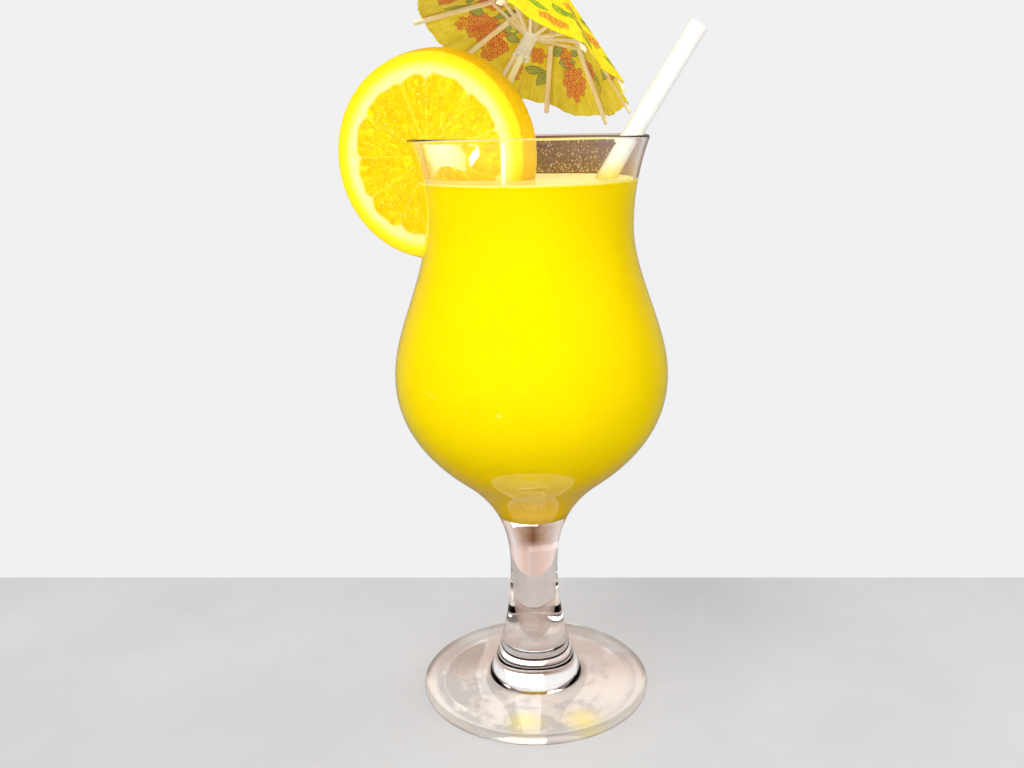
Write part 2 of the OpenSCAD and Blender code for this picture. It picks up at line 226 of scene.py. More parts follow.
class Finish(Nodes):
    # a material with one Principled shader

    def __init__(self, name, **sockets):
        self.material = bpy.data.materials.new(name)
        self.material.use_nodes = True
        super().__init__(self.material.node_tree)
        self.out = self.node("OutputMaterial")
        inputs = {key.replace("_", " "): value for key, value in sockets.items()}
        self.shader = self.node("BsdfPrincipled", inputs)
        self.set(self.out, {0: self.shader.outputs[0]})

    def place(self):
        # the point in the piece's own coordinates, in metres
        return self.node("TexCoord").outputs["Object"]

    def stored(self, name):
        # a value that the mesh holds at its points
        return self.node("Attribute", attribute_name=name).outputs["Fac"]

    def noise(self, vector, scale, detail=3.0, rough=0.5):
        inputs = {"Vector": vector, "Scale": scale, "Detail": detail, "Roughness": rough}
        return self.node("TexNoise", inputs).outputs[0]

    def cells(self, vector, scale):
        # distance to the nearest of many scattered points
        return self.node("TexVoronoi", {"Vector": vector, "Scale": scale}).outputs["Distance"]

    def base(self, tone):
        self.set(self.shader, {"Base Color": tone})

    def bump(self, height, strength, distance):
        inputs = {"Height": height, "Strength": strength, "Distance": distance * mm}
        self.set(self.shader, {"Normal": self.node("Bump", inputs).outputs[0]})

    def letLampsThrough(self):
        # clear to the rays that look for lamps, so that what is behind is lit
        rays = self.node("LightPath")
        clear = self.node("BsdfTransparent", {0: (0.97, 0.97, 0.97, 1)})
        inputs = {0: rays.outputs["Is Shadow Ray"], 1: self.shader.outputs[0], 2: clear.outputs[0]}
        self.set(self.out, {0: self.node("MixShader", inputs).outputs[0]})


def dress(obj, body="root", replaced=(), finishes=()):
    # what every new piece gets: its materials, its body and the nodes that it stands for
    for finish in finishes:
        obj.data.materials.append(finish.material)
    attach(obj, body)
    if replaced:
        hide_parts(*replaced)


# glass

glass = {  # a pair is a width and its height above the table, and a third value is the side's slope there
    "height": 181.0, "rim": 71.8, "belly": (85.0, 108.5), "waist": (63.0, 155.0), "rimSlope": 0.36,
    "turn": (47.2, 75.5, 1.3), "floor": 61.8, "stem": (15.4, 43.0), "flare": (29.2, 7.0, 0.38),
    "foot": 75.4, "footEdge": 3.7, "footTop": 5.1, "footFillet": 4.2, "hollow": 1.4, "restRing": 62.0,
    "wallTop": 1.5, "wallBase": 2.4, "sides": 160, "steps": 26, "bottomSteps": 14,
}
# streak, foot and mottle are painted reflections of a warm room in the stem's and foot's glass
glassTones = {
    "plain": (0.985, 0.99, 0.99, 1), "streak": (0.93, 0.81, 0.765, 1), "foot": (0.91, 0.88, 0.85, 1),
    "paintedRoomMottle": (0.73, 0.62, 0.56, 1), "film": (0.97, 0.86, 0.52, 1),
}
lipRadius = glass["wallTop"] / 2 + 0.05
lip = (glass["rim"] / 2 - lipRadius, glass["height"] - lipRadius)


def stretch(a, slopeA, b, slopeB, n):
    # cubic curve in height from (radius, height) a to b with the given slopes at its ends, without its last
    # point
    t = np.arange(n) / n
    d = b[1] - a[1]
    r = (2 * t**3 - 3 * t**2 + 1) * a[0] + (t**3 - 2 * t**2 + t) * d * slopeA
    r += (3 * t**2 - 2 * t**3) * b[0] + (t**3 - t**2) * d * slopeB
    return np.column_stack([r, a[1] + t * d])


def outerSide():
    # cubic stretches from the foot's flare over the stem, the turn, the belly and the waist to the rim
    flare, stem, turn, belly, waist = [
        (glass[name][0] / 2, glass[name][1]) for name in ("flare", "stem", "turn", "belly", "waist")
    ]
    rim, n = (glass["rim"] / 2, lip[1]), glass["steps"]
    return np.concatenate([
        stretch(flare, -glass["flare"][2], stem, 0, n), stretch(stem, 0, turn, glass["turn"][2], n),
        stretch(turn, glass["turn"][2], belly, 0, n), stretch(belly, 0, waist, 0, n),
        stretch(waist, 0, rim, glass["rimSlope"], n),
    ])


def innerSide(gap):
    # the outer side above the bowl's floor, moved inward by the wall and a gap and closed by a round bottom
    side = outerSide()
    side = side[side[:, 1] > glass["floor"] + 2]
    way = np.gradient(side, axis=0)
    way /= np.linalg.norm(way, axis=1)[:, None]
    share = np.clip((side[:, 1] - glass["turn"][1]) / (glass["waist"][1] - glass["turn"][1]), 0, 1)
    wall = glass["wallBase"] + (glass["wallTop"] - glass["wallBase"]) * share + gap
    side = side + wall[:, None] * np.column_stack([-way[:, 1], way[:, 0]])
    run = (side[1] - side[0]) / (side[1][1] - side[0][1])
    floor = glass["floor"] + gap
    corner = side[0] - run * (side[0][1] - floor)
    return np.concatenate([bend((0, floor), corner, side[0], glass["bottomSteps"]), side[1:]])


def innerRadius(height, gap):
    # the inner side's radius at a height above its round bottom
    side = innerSide(gap)[glass["bottomSteps"]:]
    return np.interp(height, side[:, 1], side[:, 0])


def glassProfile():
    # the hollow underside, the foot's round edge and slightly sloping top, the outer side, the round lip,
    # and the inner side down to the bowl's floor
    k = np.linspace(0, 1, 16)
    edge = glass["footEdge"] / 2
    foot = (glass["foot"] / 2 - edge, edge)
    flare = np.array([glass["flare"][0] / 2, glass["flare"][1]])
    root = np.array([flare[0] + glass["flare"][2] * (flare[1] - glass["footTop"]), glass["footTop"]])
    fall = (glass["footTop"] - glass["footEdge"]) / (foot[0] - root[0])
    lead = root + glass["footFillet"] * np.array([1, -fall])
    top = np.linspace([foot[0], glass["footEdge"]], lead, 10)[1:-1]
    return np.concatenate([
        np.column_stack([glass["restRing"] / 2 * k, glass["hollow"] * np.cos(np.pi / 2 * k)]),
        arc(*foot, edge, -90, 90, 20), top, bend(lead, root, flare, 10)[:-1], outerSide(),
        arc(*lip, lipRadius, 0, 180, 17), innerSide(0)[::-1],
    ])


def glassFinish():
    # clear glass with painted reflections of a warm room: upright streaks in the stem and mottling in the
    # foot, less of it in front, and a thin film of juice above the level
    f = Finish("clearGlass", Roughness=0.0, IOR=1.5, Transmission_Weight=1.0)
    where = f.place()
    x, y, z = f.split(where)
    # painted reflections of a warm room: upright streaks in the stem, mottling in the foot, less of it in
    # front
    paintedRoomStreaks = f.band(f.noise(f.join(x, y, f.times(z, 0.12)), 190.0, 3.0, 0.6), 0.38, 0.6)
    spots = f.band(f.noise(where, 52.0, 5.0, 0.62), 0.38, 0.53)
    paintedRoomMottle = f.times(spots, f.band(y, -0.014, 0.008, (0.4, 1.0)))
    inStem = f.times(f.band(z, 0.0075, 0.018), f.band(z, 0.058, 0.066, (1.0, 0.0)))
    inFoot = f.band(z, 0.0056, 0.0072, (1.0, 0.0))
    film = f.times(f.band(z, 0.1682, 0.1776, (1.0, 0.0)), f.band(z, 0.166, 0.168))
    patchy = f.band(f.noise(where, 420.0, 3.0, 0.6), 0.3, 0.7, (0.55, 1.0))
    tone = f.mix(f.times(paintedRoomStreaks, inStem), glassTones["plain"], glassTones["streak"])
    tone = f.mix(inFoot, tone, f.mix(paintedRoomMottle, glassTones["foot"], glassTones["paintedRoomMottle"]))
    f.base(f.mix(f.times(film, patchy), tone, glassTones["film"]))
    f.bump(f.noise(where, 60.0, 1.0), 0.05, 0.6)
    f.letLampsThrough()
    return f


glassBody = makePiece("glassBody", revolve(glassProfile(), glass["sides"]))
dress(glassBody, replaced=["glass"], finishes=[glassFinish()])
print("glass made")


# juice

juice = {  # reach: how far it goes into the wall, creep: how far it climbs there, over a length of fade
    "level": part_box("juice")[1].z / mm, "reach": 0.08, "creep": 0.25, "fade": 0.8, "sides": 144,
    "deep": colour(255, 206, 0), "body": colour(255, 228, 0), "cloud": colour(255, 222, 0),
    "pulp": colour(255, 236, 8), "top": colour(255, 243, 150),
}


def juiceProfile():
    # the bowl's inner side, a little into the wall, then a top that sinks from the wall to the level as an
    # exponential of the distance from the wall
    side = innerSide(-juice["reach"])
    edge = juice["level"] + juice["creep"]
    side = side[side[:, 1] < edge - 0.3]
    rim = innerRadius(edge, -juice["reach"])
    back = np.concatenate([np.linspace(0, 4, 12), np.linspace(4, rim, 22)[1:]])
    top = np.column_stack([rim - back, juice["level"] + juice["creep"] * np.exp(-back / juice["fade"])])
    top[-1, 0] = 0
    return np.concatenate([side, top])


def juiceFinish():
    # cloudy juice: deeper at the bottom, with soft clouds and specks of pulp, and paler on its top
    f = Finish(
        "orangeJuice", Roughness=0.25, IOR=1.34, Subsurface_Weight=0.5, Subsurface_Scale=4 * mm,
        Subsurface_Radius=(1.0, 0.7, 0.15), Specular_IOR_Level=0.04,
    )
    where = f.place()
    height = f.split(where)[2]
    cloud = f.band(f.noise(where, 45.0, 4.0, 0.6), 0.35, 0.7, (0.0, 0.35))
    pulp = f.band(f.cells(where, 700.0), 0.05, 0.3, (0.25, 0.0))
    atTop = f.band(height, (juice["level"] - 0.5) * mm, (juice["level"] - 0.05) * mm)
    tone = f.mix(f.band(height, 0.064, 0.1), juice["deep"], juice["body"])
    tone = f.mix(cloud, tone, juice["cloud"])
    tone = f.mix(pulp, tone, juice["pulp"])
    f.base(f.mix(atTop, tone, juice["top"]))
    return f


juiceBody = makePiece("juiceBody", revolve(juiceProfile(), juice["sides"]))
dress(juiceBody, replaced=["juice"], finishes=[juiceFinish()])
print("juice made")


# orange slice

orange = {
    "centre": (-28.85, 10.5, 175.3), "ball": 32.3, "offset": 5.8, "half": 4.5, "edge": 0.7,
    "flesh": 23.7, "cuts": (19, 53, 89, 110, 148, 180, 212, 244, 278, 312, 345),
    "core": 1.1, "sacs": 760, "seed": 11, "sides": 300, "frontRows": 116, "backRows": 104, "slitGap": -0.08,
    "slitFrom": 138,
}
sliceAcross, sliceFront = np.array([0.9397, -0.3420, 0]), np.array([-0.3420, -0.9397, 0])
sliceAxes = np.stack([sliceAcross, (0, 0, 1), sliceFront], 1)


def sliceMasks(u, v):
    # what the cut face shows at (u, v): distance from the middle, flesh from 0 to 1, distance to the
    # nearest membrane, and the juice sacs, which are the cells of seeds scattered in a disc, stretched
    # outward: how far a point is from its cell's edge, and the cell's tone
    rho, turn = np.hypot(u, v), np.degrees(np.arctan2(v, u)) % 360
    cuts = np.array(orange["cuts"])
    gaps = np.abs((turn[:, None] - cuts + 180) % 360 - 180)
    membrane = rho * np.radians(gaps.min(1))
    ends = np.append(cuts, cuts[0] + 360)
    place = np.where(turn < cuts[0], turn + 360, turn)
    k = np.clip(np.searchsorted(ends, place, side="right") - 1, 0, len(cuts) - 1)
    within = (place - ends[k]) / (ends[k + 1] - ends[k])
    edge = orange["flesh"] + 0.5 - 1.5 * np.abs(2 * within - 1) ** 5
    edge += 0.35 * np.sin(np.radians(turn * 5 + 40)) + 0.22 * np.sin(np.radians(turn * 23))
    flesh = ease(0.5, -0.5, rho - edge) * ease(orange["core"] - 0.5, orange["core"] + 0.5, rho)
    flesh *= 0.6 + 0.4 * ease(0.05, 0.3, membrane)
    draw = np.random.default_rng(orange["seed"])
    seedRho = orange["flesh"] * np.sqrt(draw.uniform(0.004, 1.05, orange["sacs"]))
    seedTurn = np.radians(draw.uniform(0, 360, orange["sacs"]))
    tone = draw.uniform(0, 1, orange["sacs"])
    first, second, owner = np.full(len(u), 1e9), np.full(len(u), 1e9), np.zeros(len(u), int)
    for part in np.array_split(np.arange(orange["sacs"]), 31):
        bearing = (np.radians(turn)[:, None] - seedTurn[part] + np.pi) % (2 * np.pi) - np.pi
        across = bearing * (rho[:, None] + seedRho[part]) / 2
        away = np.hypot(across, (rho[:, None] - seedRho[part]) * 0.42)
        order = np.sort(np.column_stack([away, first, second]), axis=1)
        nearest = away.argmin(1)
        owner = np.where(away.min(1) < first, part[nearest], owner)
        first, second = order[:, 0], order[:, 1]
    return rho, flesh, membrane, np.clip((second - first) / 0.55, 0, 1), tone[owner]


def sliceSurface():
    # the slice's section, from the front's middle over the round peel to the back's middle, carried round its
    # own axis, with the flesh standing out as rounded sacs and the peel dimpled
    half, edge = orange["half"], orange["edge"]
    side = np.linspace(half - edge, -half + edge, 22)
    ball = np.sqrt(orange["ball"] ** 2 - (side + orange["offset"]) ** 2)
    front = np.sqrt(orange["ball"] ** 2 - (half + orange["offset"]) ** 2) - edge
    back = np.sqrt(orange["ball"] ** 2 - (-half + orange["offset"]) ** 2) - edge
    frontRows, backRows = orange["frontRows"], orange["backRows"]
    roundFront = bend((front, half), (ball[0], half), (ball[0], half - edge), 6)[1:-1]
    roundBack = bend((ball[-1], -half + edge), (ball[-1], -half), (back, -half), 6)[1:-1]
    section = np.concatenate([
        np.linspace((0, half), (front, half), frontRows), roundFront, np.column_stack([ball, side]),
        roundBack, np.linspace((back, -half), (0, -half), backRows),
    ])
    a = np.linspace(0, -2 * np.pi, orange["sides"] + 1)
    a[-1] = 0
    u, v = section[:, :1] * np.cos(a), section[:, :1] * np.sin(a)
    w = np.repeat(section[:, 1:], len(a), 1)
    _, flesh, _, sac, tone = sliceMasks(u.ravel(), v.ravel())
    dome = 1 - (1 - sac) ** 2
    relief = (flesh * (0.16 + 0.14 * tone) * dome - 0.12 * flesh).reshape(u.shape)
    relief += 0.05 * np.sin(u * 1.3) * np.cos(v * 1.1)
    row = np.arange(len(section))
    facing = 1.0 * (row < frontRows) - 1.0 * (row >= len(section) - backRows)
    w = w + relief * facing[:, None]
    pores = 0.06 * np.sin(u * 2.3 + 2 * np.sin(v)) * np.sin(v * 2.1 + w * 2.6) * (facing == 0)[:, None]
    scale = 1 + pores / orange["ball"]
    return np.stack([u * scale, v * scale, w], -1)


def wallCutter():
    # the space of the glass's wall and a gap on both sides, as a closed ring; a gap below zero makes it
    # thinner
    gap = orange["slitGap"]
    outer, inner = outerSide(), innerSide(gap)
    outer = outer[outer[:, 1] > orange["slitFrom"]] + [gap, 0]
    inner = inner[inner[:, 1] > orange["slitFrom"]]
    top = glass["height"] + gap
    lid = [[outer[-1, 0] + 0.1, top], [inner[-1, 0] + 0.1, top]]
    ring = np.concatenate([outer, lid, inner[::-1], outer[:1]])
    return makePiece("wallCutter", revolve(ring, 180))


def makeSlice():
    # the slice with its slit cut by the wall's ring, and what sliceMasks says stored at its points
    obj = makePiece("orangeSlice", sliceSurface() @ sliceAxes.T + np.array(orange["centre"]))
    cutter = wallCutter()
    cut = obj.modifiers.new("slit", "BOOLEAN")
    cut.operation, cut.object, cut.solver = "DIFFERENCE", cutter, "EXACT"
    made = bpy.data.meshes.new_from_object(obj.evaluated_get(bpy.context.evaluated_depsgraph_get()))
    obj.modifiers.clear()
    obj.data = made
    bpy.data.objects.remove(cutter)
    made.name = "orangeSlice"
    made.set_sharp_from_angle(angle=np.radians(50))
    made.polygons.foreach_set("use_smooth", np.ones(len(made.polygons), bool))
    co = np.zeros(len(made.vertices) * 3)
    made.vertices.foreach_get("co", co)
    local = (co.reshape(-1, 3) / mm - np.array(orange["centre"])) @ sliceAxes
    rho, flesh, membrane, sac, tone = sliceMasks(local[:, 0], local[:, 1])
    inward = orange["half"] - np.abs(local[:, 2])
    values = {
        "reach": rho / orange["ball"], "flesh": flesh, "membrane": np.exp(-((membrane / 0.2) ** 2)),
        "sac": sac, "tone": tone, "peel": ease(0.25, 0.7, inward) * ease(28.5, 29.8, rho),
    }
    for name, value in values.items():
        made.attributes.new(name, "FLOAT", "POINT").data.foreach_set("value", value.astype(np.float32))
    return obj


sliceTones = {  # the rind by its share of the radius, and the juice sacs by their own tone
    "rind": [
        (0.66, colour(255, 226, 60)), (0.73, colour(255, 247, 160)), (0.795, colour(255, 247, 168)),
        (0.835, colour(255, 244, 110)), (0.875, colour(255, 240, 0)), (0.925, colour(255, 224, 0)),
        (0.965, colour(250, 204, 0)),
    ],
    "sacs": [
        (0.0, colour(255, 194, 0)), (0.45, colour(255, 206, 0)), (0.85, colour(255, 216, 0)),
        (1.0, colour(255, 232, 20)),
    ],
}


def sliceFinish():
    # wet flesh of bright sacs between pale membranes, a soft pith and a dimpled peel
    f = Finish(
        "orangeFruit", Roughness=0.3, IOR=1.4, Subsurface_Weight=0.35, Subsurface_Scale=2.5 * mm,
        Subsurface_Radius=(1.0, 0.6, 0.2),
    )
    where = f.place()
    flesh, peel, grain = f.stored("flesh"), f.stored("peel"), f.noise(where, 900.0, 3.0)
    rind = f.ramp(f.stored("reach"), sliceTones["rind"])
    rind = f.mix(f.band(f.noise(where, 300.0), 0.3, 0.7, (0.0, 0.25)), rind, colour(255, 236, 40))
    sacs = f.ramp(f.stored("tone"), sliceTones["sacs"])
    sacs = f.mix(f.band(f.stored("sac"), 0.0, 0.3, (0.35, 0.0)), sacs, colour(255, 232, 50))
    sacs = f.mix(f.band(grain, 0.45, 0.75, (0.0, 0.4)), sacs, colour(255, 222, 20))
    glints = f.band(f.noise(where, 1500.0, 2.0), 0.6, 0.68, (0.0, 0.6))
    sacs = f.mix(glints, sacs, colour(255, 242, 100))
    betweenMembranes = f.math("SUBTRACT", 1.0, f.times(f.stored("membrane"), 0.3))
    face = f.mix(f.times(flesh, betweenMembranes), rind, sacs)
    pores = f.cells(where, 900.0)
    peelTone = f.mix(f.band(pores, 0.15, 0.5), colour(255, 190, 0), colour(255, 210, 10))
    f.base(f.mix(peel, face, peelTone))
    f.set(f.shader, {"Roughness": f.band(flesh, 0.0, 1.0, (0.45, 0.16))})
    beads = f.times(grain, f.band(flesh, 0.0, 1.0, (0.15, 0.6)))
    f.bump(f.plus(beads, f.times(f.times(pores, peel), 1.4)), 0.5, 0.25)
    return f


orangeSlice = makeSlice()
dress(orangeSlice, replaced=["orange_slice"], finishes=[sliceFinish()])
print("slice made:", len(orangeSlice.data.polygons), "faces")


# straw

straw = {  # low and high are the ends, measured along the straw from its place beside the rim
    "radius": 2.9, "wall": 0.4, "low": -112.5, "high": 37.0, "lean": 32.0, "turn": 2.0,
    "place": (30.68, 0, 180.2), "sides": 64, "rows": 60,
}


def strawSurface():
    # the wall's section, up the outside and down the bore with rounded lips, carried round the straw's own
    # axis
    r, t, z0, z1 = straw["radius"], straw["wall"], straw["low"], straw["high"]
    outer = np.linspace((r, z0 + t / 2), (r, z1 - t / 2), straw["rows"])
    outer[:, 0] += 0.02 * np.sin(outer[:, 1] * 0.7)
    inner = np.linspace((r - t, z1 - t / 2), (r - t, z0 + t / 2), straw["rows"])
    section = np.concatenate([
        outer, arc(r - t / 2, z1 - t / 2, t / 2, 0, 180, 7)[1:-1], inner,
        arc(r - t / 2, z0 + t / 2, t / 2, 180, 360, 7)[1:-1], outer[:1],
    ])
    place = spin(0, straw["turn"]) @ np.array(straw["place"])
    return revolve(section, straw["sides"]) @ spin(straw["lean"], straw["turn"]).T + place


def strawFinish():
    # smooth white with faint streaks along the straw, and a painted yellow glow of the juice near the level
    f = Finish("whiteStraw", Roughness=0.28, IOR=1.48, Subsurface_Weight=0.25, Subsurface_Scale=1 * mm)
    where = f.place()
    upright = f.node("Mapping", {
        "Vector": where, "Rotation": (0, -np.radians(straw["lean"]), 0), "Scale": (900, 900, 14),
    }, vector_type="POINT").outputs[0]
    streak = f.noise(upright, 1.0, 2.0)
    # painted yellow glow of the juice on the straw: full below the level, fading out between 168 and 174 mm
    low = f.band(f.split(where)[2], 0.168, 0.174, (1.0, 0.0))
    tint = f.mix(low, colour(252, 250, 244), colour(255, 236, 120))
    f.base(f.mix(f.band(streak, 0.35, 0.75, (0.0, 0.3)), tint, colour(240, 232, 214)))
    f.bump(streak, 0.15, 0.05)
    return f


whiteStraw = makePiece("whiteStraw", strawSurface())
dress(whiteStraw, replaced=["straw"], finishes=[strawFinish()])
print("straw made")


# umbrella: its own frame has its origin at the hem's centre and Z along the stick

umbrella = {
    "pierce": (-19.17, 6.98, 169.3), "lean": 30.8, "turn": 30.8, "up": 41.4, "hem": 35.8, "height": 25.4,
    "sag": 3.0, "paper": 0.3, "ribs": 11, "start": 328.6, "wander": 5.5, "hole": 1.25, "perPanel": 28,
    "rows": 70, "crease": 0.28, "creaseSeed": 5, "fray": 0.5, "fraySeed": 3,
}
umbrellaTurn = spin(umbrella["lean"], umbrella["turn"])
umbrellaPlace = np.array(umbrella["pierce"]) + umbrellaTurn @ np.array([0, 0, umbrella["up"]])
slope = np.arctan2(umbrella["height"], umbrella["hem"])
slant = np.hypot(umbrella["height"], umbrella["hem"])
ribNumbers = np.arange(umbrella["ribs"] + 1)
ribWander = umbrella["wander"] * np.sin(np.radians(100 * (ribNumbers % umbrella["ribs"]) + 220))
ribTurns = umbrella["start"] + 360 * ribNumbers / umbrella["ribs"] + ribWander


def inUmbrella(points):
    # points of the umbrella's own frame in the part's frame
    return points @ umbrellaTurn.T + umbrellaPlace


def paperPoint(turn, along, lift):
    # a point of the paper: a cone whose slope grows between two ribs, where the paper hangs and is creased,
    # lifted off the underside by lift
    turn = ribTurns[0] + (turn - ribTurns[0]) % 360
    k = np.clip(np.searchsorted(ribTurns, turn, side="right") - 1, 0, umbrella["ribs"] - 1)
    share = (turn - ribTurns[k]) / (ribTurns[k + 1] - ribTurns[k])
    hang = 0.62 * np.sin(np.pi * share) + 0.38 * (1 - np.abs(2 * share - 1))
    a = np.radians(turn)
    steep = slope + np.radians(umbrella["sag"]) * hang
    draw = np.random.default_rng(umbrella["creaseSeed"])
    waves = 0
    for n in (2, 3, 5):
        size = draw.uniform(0.5, 1.0, umbrella["ribs"])[k] / (1 + n / 3)
        start = draw.uniform(0, 6.28, umbrella["ribs"])[k]
        waves = waves + size * np.sin(2 * np.pi * n * share + start)
    fold = umbrella["crease"] * waves * np.sin(np.pi * share) ** 0.7 * np.clip(along / slant, 0, 1) ** 1.3
    fold = fold + 0.05 * np.sin(along * 1.7 + 9 * share) * np.sin(np.pi * share)
    push = lift + fold
    r = along * np.cos(steep) + push * np.sin(steep)
    z = umbrella["height"] - along * np.sin(steep) + push * np.cos(steep)
    return np.stack([r * np.cos(a), r * np.sin(a), z], -1)


def canopySurface():
    # underside and top of the paper as one closed loop of rows, from the stick's hole to a slightly frayed
    # hem
    steps = np.arange(umbrella["ribs"] * umbrella["perPanel"] + 1) / umbrella["perPanel"]
    turn = np.interp(steps, ribNumbers, ribTurns)
    draw = np.random.default_rng(umbrella["fraySeed"])
    spread = 0
    for n in (7, 13, 24, 41):
        size, start = draw.uniform(0.2, 1), draw.uniform(0, 6.28)
        spread = spread + size / 2 * np.sin(np.radians(turn) * n + start)
    end = slant + umbrella["fray"] * (spread - 0.6)
    begin = umbrella["hole"] / np.cos(slope)
    along = begin + np.linspace(0, 1, umbrella["rows"])[:, None] * (end - begin)
    grid = np.broadcast_to(turn, along.shape)
    under, top = paperPoint(grid, along, 0.0), paperPoint(grid, along, umbrella["paper"])
    middle = paperPoint(grid[-1:], along[-1:] + 0.08, umbrella["paper"] / 2)
    loop = np.concatenate([top, middle, under[::-1], top[:1]])
    loop[:, -1] = loop[:, 0]
    tones = np.repeat([0, 1, 0], [umbrella["rows"], umbrella["rows"], 1])[:, None] + np.zeros(len(turn) - 1)
    flatTurn = np.radians(turn) * np.cos(slope)
    sheet = np.stack([along * np.cos(flatTurn), along * np.sin(flatTurn)], -1)
    flat = np.concatenate([sheet, sheet[-1:], sheet[::-1], sheet[:1]])
    return loop[:, ::-1], tones[:, ::-1], flat[:, ::-1]


def paperFinish(name, sun, shade, deep):
    # thin fibrous paper: cloudy colour, fine fibres along the pleats and a soft crumple
    f = Finish(
        name, Roughness=0.62, IOR=1.45, Specular_IOR_Level=0.25, Subsurface_Weight=0.2,
        Subsurface_Scale=0.6 * mm,
    )
    flat = f.node("UVMap", uv_map="flat").outputs[0]
    across, up, _ = f.split(flat)
    lines = f.join(f.times(f.math("ARCTAN2", up, across), 46.0), f.times(f.length(flat), 0.08), 0.0)
    pleats = f.noise(lines, 1.0, 3.0, 0.65)
    tone = f.mix(f.band(f.noise(flat, 0.12, 4.0, 0.6), 0.35, 0.65), sun, shade)
    f.base(f.mix(f.band(pleats, 0.5, 0.72, (0.0, 0.6)), tone, deep))
    f.bump(f.plus(f.noise(flat, 3.0, 4.0, 0.7), f.times(pleats, 1.5)), 0.5, 0.12)
    return f


outerPaper = paperFinish("yellowPaper", colour(255, 238, 10), colour(250, 226, 0), colour(232, 190, 0))
innerPaper = paperFinish("paperUnderside", colour(246, 234, 84), colour(234, 216, 56), colour(206, 174, 24))
loop, tones, flat = canopySurface()
canopy = makePiece("umbrellaPaper", inUmbrella(loop), tones=tones, flat=flat)
dress(canopy, replaced=["umbrella_canopy"], finishes=[outerPaper, innerPaper])
print("canopy made")


# print: bunches of small blossoms and leaves, a thin ink on both sides of the paper

inkPrint = {  # bunches: turn, distance along the slope, length, width, tilt; leaves: the same without a width
    "bunches": [
        (113, 29, 13, 8, 35), (97, 29.5, 11, 7, 60), (84, 32.5, 8, 5, 20), (51, 26.5, 8, 4, 80),
        (20, 24, 5, 5, 0), (15, 32.5, 11, 7, 20), (353, 28.5, 7, 5, 50), (61, 35.5, 4, 3, 0),
        (132, 21.5, 9, 5, 60), (251, 36.5, 11, 5, 70), (182, 27, 11, 6, 40), (214, 33, 9, 6, 10),
        (229, 22, 7, 5, 70), (286, 28, 11, 6, 60), (310, 34, 9, 5, 20), (330, 22, 6, 4, 30),
        (160, 35, 8, 5, 80), (271, 20, 5, 4, 10),
    ],
    "leaves": [
        (137, 32, 9, 30), (126, 27, 8, 70), (104, 20, 8, 20), (88, 23, 9, 60), (80, 25, 7, 100),
        (43, 34, 8, 30), (51, 32, 7, 75), (30, 22.5, 7, 40), (20, 26, 8, 80), (255, 26, 8, 30),
        (266, 27, 8, 70), (348, 33, 7, 20), (329, 31, 8, 60), (195, 34, 9, 50), (170, 22, 8, 20),
        (205, 23, 8, 80), (238, 31, 8, 100), (298, 21, 7, 30), (300, 37, 8, 60), (276, 35, 8, 10),
        (148, 27, 7, 110), (6, 22, 6, 60),
    ],
    "size": 1.2, "spacing": 1.72, "lift": 0.05, "seed": 21, "leafWidth": 0.22, "vein": 0.12,
}
inkSlots = {"line": 0, "blossom": 1, "leaf": 2, "leafLine": 3}


def turned(x, y, degrees):
    # (x, y) turned about its origin
    a = np.radians(degrees)
    return x * np.cos(a) - y * np.sin(a), x * np.sin(a) + y * np.cos(a)


def onPaper(turn, along, dx, dy):
    # the turn and the distance along the slope of a point dx further down the slope and dy across it
    q = along + dx
    return turn + np.degrees(dy / (q * np.cos(slope))), q


def blossomPlaces():
    # the middles and sizes of all blossoms: a triangular grid inside each bunch's ellipse, a little scattered
    draw = np.random.default_rng(inkPrint["seed"])
    gap = inkPrint["size"] * inkPrint["spacing"]
    i, j = np.meshgrid(np.arange(-6, 7), np.arange(-6, 7))
    gridX, gridY = gap * (i + 0.5 * (j % 2)), gap * 0.87 * j
    places, sizes = [], []
    for turn, along, length, width, tilt in inkPrint["bunches"]:
        inside = (gridX / (length / 2 + 0.4)) ** 2 + (gridY / (width / 2 + 0.4)) ** 2 < 1
        x = gridX[inside] + draw.uniform(-0.2, 0.2, inside.sum())
        y = gridY[inside] + draw.uniform(-0.2, 0.2, inside.sum())
        places.append(np.column_stack(onPaper(turn, along, *turned(x, y, tilt))))
        sizes.append(inkPrint["size"] * draw.uniform(0.82, 1.08, len(x)))
    return np.concatenate(places), np.concatenate(sizes)


def blossomShapes():
    # each blossom is a disc, its outline and its dot, between two shares of a radius that has five petals
    places, sizes = [values[..., None, None] for values in blossomPlaces()]
    ring = np.linspace(0, 2 * np.pi, 26)
    ring[-1] = 0
    petal = 0.86 + 0.14 * np.abs(np.cos(2.5 * ring + 0.3))
    shapes = []
    parts = [(0, 0.80, "blossom", 0.0), (0.72, 1.0, "line", 0.01), (0, 0.24, "line", 0.02)]
    for low, high, slot, up in parts:
        reach = sizes * np.stack([low * petal, high * petal])
        turn, q = onPaper(places[:, 0], places[:, 1], reach * np.cos(ring), reach * np.sin(ring))
        shapes.append((turn, q, inkSlots[slot], up))
    return shapes


def leafShapes():
    # each leaf is a pointed oval with an outline on both sides and a vein along its middle
    turn, along, length, tilt = np.array(inkPrint["leaves"], float).T[:, :, None, None]
    t = np.linspace(0, 1, 14)
    wide = inkPrint["leafWidth"] * length * np.sin(np.pi * np.clip(t, 0.001, 0.999)) ** 0.8
    vein = inkPrint["vein"] + 0 * wide
    shapes = []
    parts = [
        (-wide, wide, "leaf", 0.0), (0.84 * wide, 1.06 * wide, "leafLine", 0.012),
        (-1.06 * wide, -0.84 * wide, "leafLine", 0.012), (-vein, vein, "leafLine", 0.014),
    ]
    for left, right, slot, up in parts:
        sideways = np.concatenate([left, right], 1)
        forward = (t - 0.5) * length + 0 * sideways
        shapes.append((*onPaper(turn, along, *turned(forward, sideways, tilt)), inkSlots[slot], up))
    return shapes


